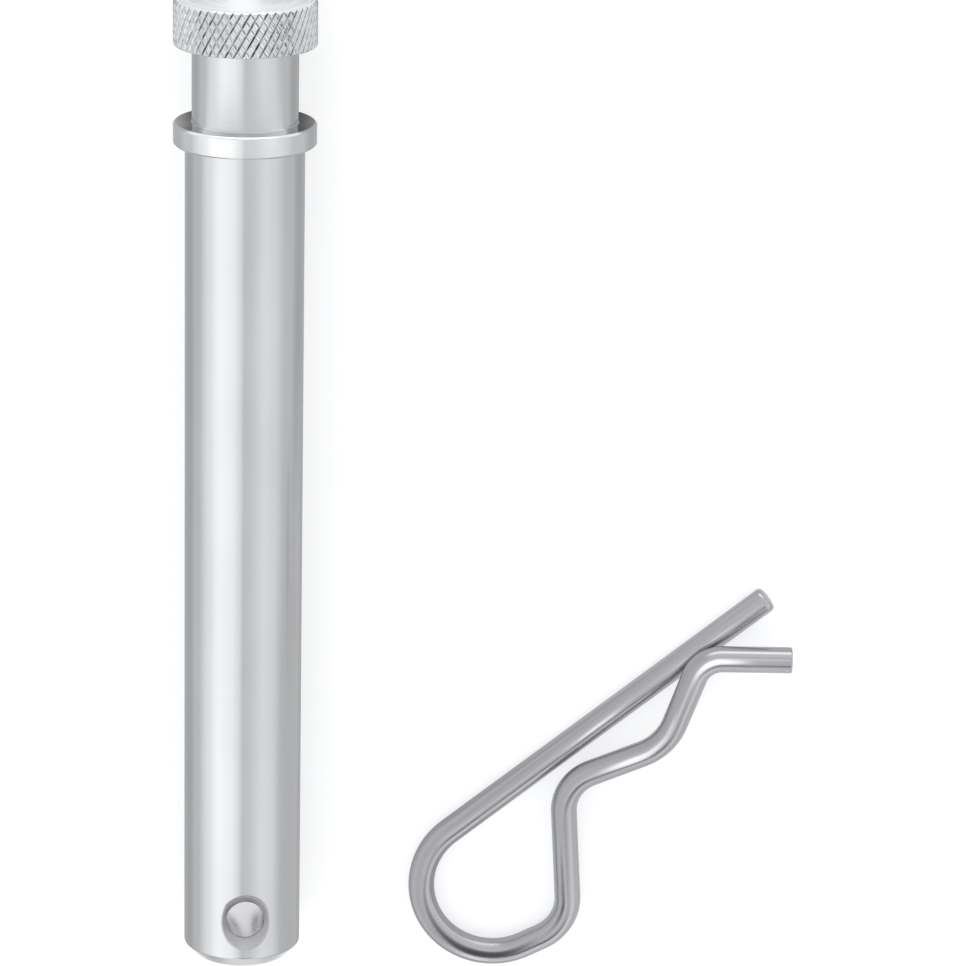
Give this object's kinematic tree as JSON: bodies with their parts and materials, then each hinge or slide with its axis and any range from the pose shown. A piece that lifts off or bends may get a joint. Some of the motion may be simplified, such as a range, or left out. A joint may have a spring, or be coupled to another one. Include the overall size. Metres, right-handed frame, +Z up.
{
  "type": "hitch pin with spring clip",
  "caption": "Straight steel hitch pin with a knurled head, a shoulder collar and a countersunk cross hole, lying beside the bent-wire spring clip that holds it in.",
  "frame": {"origin": "on the surface that the pair lies on, below the middle of its bounding box", "axes": "+Y along the pin towards its knurled head, +X from the pin towards the clip, +Z up from the surface"},
  "size_m": [0.0844, 0.138, 0.0193],
  "materials": {
    "pin_steel": "bright, finely turned and lightly polished, with a diamond-knurled head",
    "clip_steel": "satin grey spring wire with fine drawing lines along it"
  },
  "bodies": {
    "pin": {"hitch_pin": "pin_steel"},
    "clip": {"clip_leg_and_bow": "clip_steel"},
    "clip_spring": {"clip_spring_leg": "clip_steel"}
  },
  "joints": [
    {"name": "clip_lift", "type": "slide", "parent": "pin", "child": "clip", "axis": [0, 0, 1], "range_m": [0, 0.06]},
    {"name": "clip_flex", "type": "hinge", "parent": "clip", "child": "clip_spring", "pos_m": [-0.0072, -0.06463, 0.0018], "axis": [0, 0, -1], "range_deg": [0, 10], "stiffness_Nm_per_rad": 30}
  ]
}
